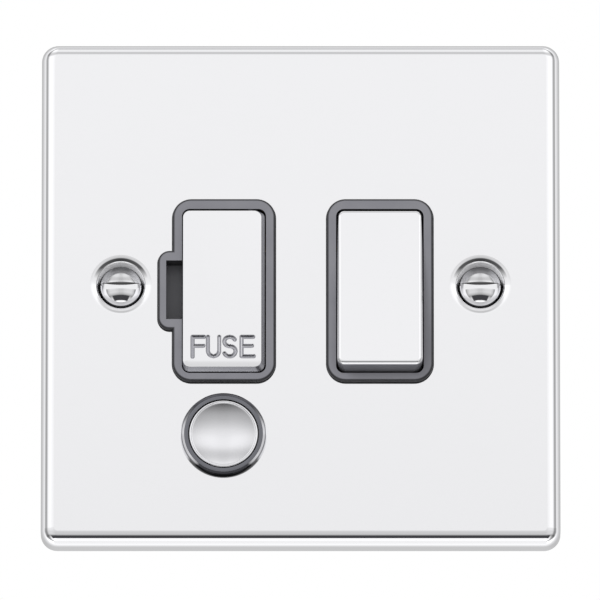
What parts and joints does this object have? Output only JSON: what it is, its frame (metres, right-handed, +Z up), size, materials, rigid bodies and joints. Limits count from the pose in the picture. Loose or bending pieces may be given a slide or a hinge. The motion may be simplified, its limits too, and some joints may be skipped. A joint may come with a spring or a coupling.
{
  "type": "fused spur unit",
  "caption": "Switched fused connection unit: chrome plate with a hinged fuse carrier, a switch rocker and a capped flex outlet, fixed to a wall box by screws.",
  "frame": {"origin": "on the wall surface, midway between the two fixing screws", "axes": "+X to the right as seen from the front, +Y into the wall along the fixing screws, +Z up"},
  "size_m": [0.087, 0.0299, 0.0869],
  "materials": {
    "chrome": "polished chrome plating",
    "grey_plastic": "moulded satin",
    "base_plastic": "moulded matt",
    "brass": "machined",
    "plated_steel": "zinc plated",
    "nylon": "moulded matt",
    "ceramic": "glazed",
    "fuse_cap_plating": "tin plated"
  },
  "bodies": {
    "unit": {"front_plate": "chrome", "plate_posts": "brass", "front_insert": "grey_plastic", "rear_base": "base_plastic", "flex_outlet_bush": "grey_plastic", "cord_grip_bar": "base_plastic", "cord_grip_screws": "plated_steel", "terminal_screws": "plated_steel", "earth_strap": "brass", "assembly_screws": "plated_steel", "fixing_screws": "chrome", "fuse_clip_upper": "brass", "fuse_clip_lower": "brass", "live_fulcrum": "brass", "neutral_fulcrum": "brass", "live_fixed_contact": "brass", "neutral_fixed_contact": "brass", "load_live_terminal": "brass", "supply_live_terminal": "brass", "supply_neutral_terminal": "brass", "load_neutral_terminal": "brass", "supply_earth_terminal": "brass", "load_earth_terminal": "brass"},
    "rocker": {"switch_rocker": "grey_plastic", "rocker_cap": "chrome"},
    "live_plunger": {"live_plunger": "nylon", "live_plunger_spring": "plated_steel"},
    "neutral_plunger": {"neutral_plunger": "nylon", "neutral_plunger_spring": "plated_steel"},
    "live_bridge": {"live_bridge": "brass"},
    "neutral_bridge": {"neutral_bridge": "brass"},
    "fuse_carrier": {"fuse_carrier": "grey_plastic", "fuse_carrier_cap": "chrome", "fuse_barrel": "ceramic", "fuse_end_caps": "fuse_cap_plating"},
    "outlet_plug": {"blanking_plug": "grey_plastic", "plug_disc": "chrome"}
  },
  "joints": [
    {"name": "rocker_tilt", "type": "hinge", "parent": "unit", "child": "rocker", "pos_m": [0.0133, -0.0033, -0.00135], "axis": [1, 0, 0], "range_deg": [0, 12]},
    {"name": "live_plunger_slide", "type": "slide", "parent": "rocker", "child": "live_plunger", "axis": [0, -0.9945, 0.1045], "range_m": [0, 0.0004], "stiffness_N_per_m": 400},
    {"name": "neutral_plunger_slide", "type": "slide", "parent": "rocker", "child": "neutral_plunger", "axis": [0, -0.9945, 0.1045], "range_m": [0, 0.0004], "stiffness_N_per_m": 400},
    {"name": "live_bridge_tilt", "type": "hinge", "parent": "unit", "child": "live_bridge", "pos_m": [0.0098, 0.00672, -0.00135], "axis": [1, 0, 0], "range_deg": [-14, 0]},
    {"name": "neutral_bridge_tilt", "type": "hinge", "parent": "unit", "child": "neutral_bridge", "pos_m": [0.0168, 0.00672, -0.00135], "axis": [1, 0, 0], "range_deg": [-14, 0]},
    {"name": "fuse_carrier_swing", "type": "hinge", "parent": "unit", "child": "fuse_carrier", "pos_m": [-0.0084, -0.0051, -0.00135], "axis": [0, 0, 1], "range_deg": [0, 90]},
    {"name": "outlet_plug_slide", "type": "slide", "parent": "unit", "child": "outlet_plug", "axis": [0, -1, 0], "range_m": [0, 0.012]}
  ],
  "couplings": [
    {"joint": "live_bridge_tilt", "follows": "rocker_tilt", "ratio": -1.1667},
    {"joint": "neutral_bridge_tilt", "follows": "rocker_tilt", "ratio": -1.1667}
  ]
}
